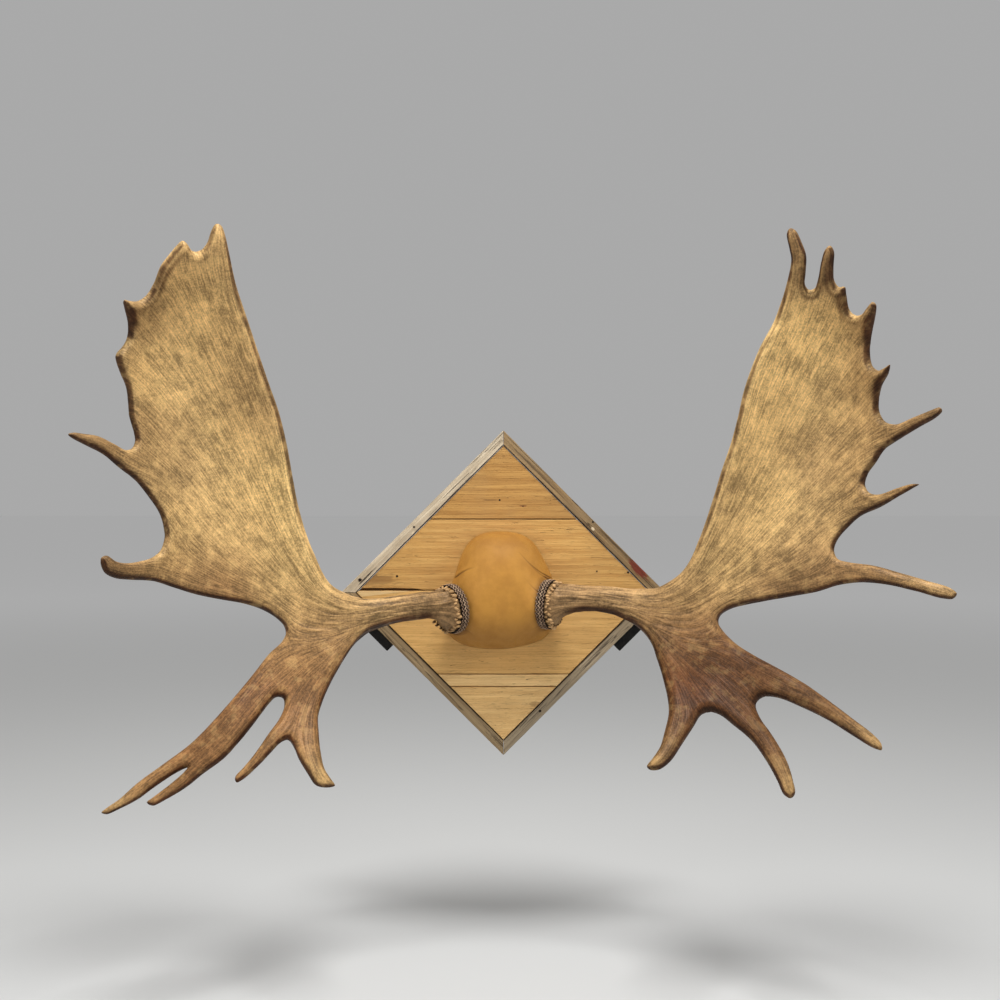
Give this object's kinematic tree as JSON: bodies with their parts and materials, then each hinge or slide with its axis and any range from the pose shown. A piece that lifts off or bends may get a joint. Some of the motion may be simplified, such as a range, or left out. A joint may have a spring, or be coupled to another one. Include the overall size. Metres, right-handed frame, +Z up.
{
  "type": "moose antler wall mount",
  "caption": "Broad palmated moose antlers on a leather-covered skull cap with braided trim, fixed to a diamond-hung wooden wall plaque.",
  "frame": {"origin": "middle of the plaque's flat back, on the wall plane", "axes": "+Z up, +Y into the wall, +X along the antlers' spread, to the right of someone facing the mount"},
  "size_m": [1.3232, 0.3991, 0.8988],
  "materials": {
    "antler": "hard antler bone, brown with long dark streaks, worn pale at the tips, slightly polished",
    "cap_leather": "smooth golden-brown leather stretched over the skull, creased at the rings",
    "braid_leather": "dark braided leather cords",
    "board_wood": "oiled old oak with fine horizontal grain and nail holes",
    "rail_wood": "weathered grey-brown wood",
    "backer_plywood": "bare plywood",
    "block_black": "matt black"
  },
  "bodies": {
    "root": {"left_antler_beam": "antler", "left_antler_palm": "antler", "left_antler_brow": "antler", "right_antler_beam": "antler", "right_antler_palm": "antler", "right_antler_brow": "antler", "skull_cap": "cap_leather", "left_braid": "braid_leather", "right_braid": "braid_leather", "board_1": "board_wood", "board_2": "board_wood", "board_3": "board_wood", "board_4": "board_wood", "board_5": "board_wood", "rail_upper_left": "rail_wood", "rail_upper_right": "rail_wood", "rail_lower_left": "rail_wood", "rail_lower_right": "rail_wood", "backer_panel": "backer_plywood", "left_wall_block": "block_black", "right_wall_block": "block_black"}
  },
  "joints": []
}
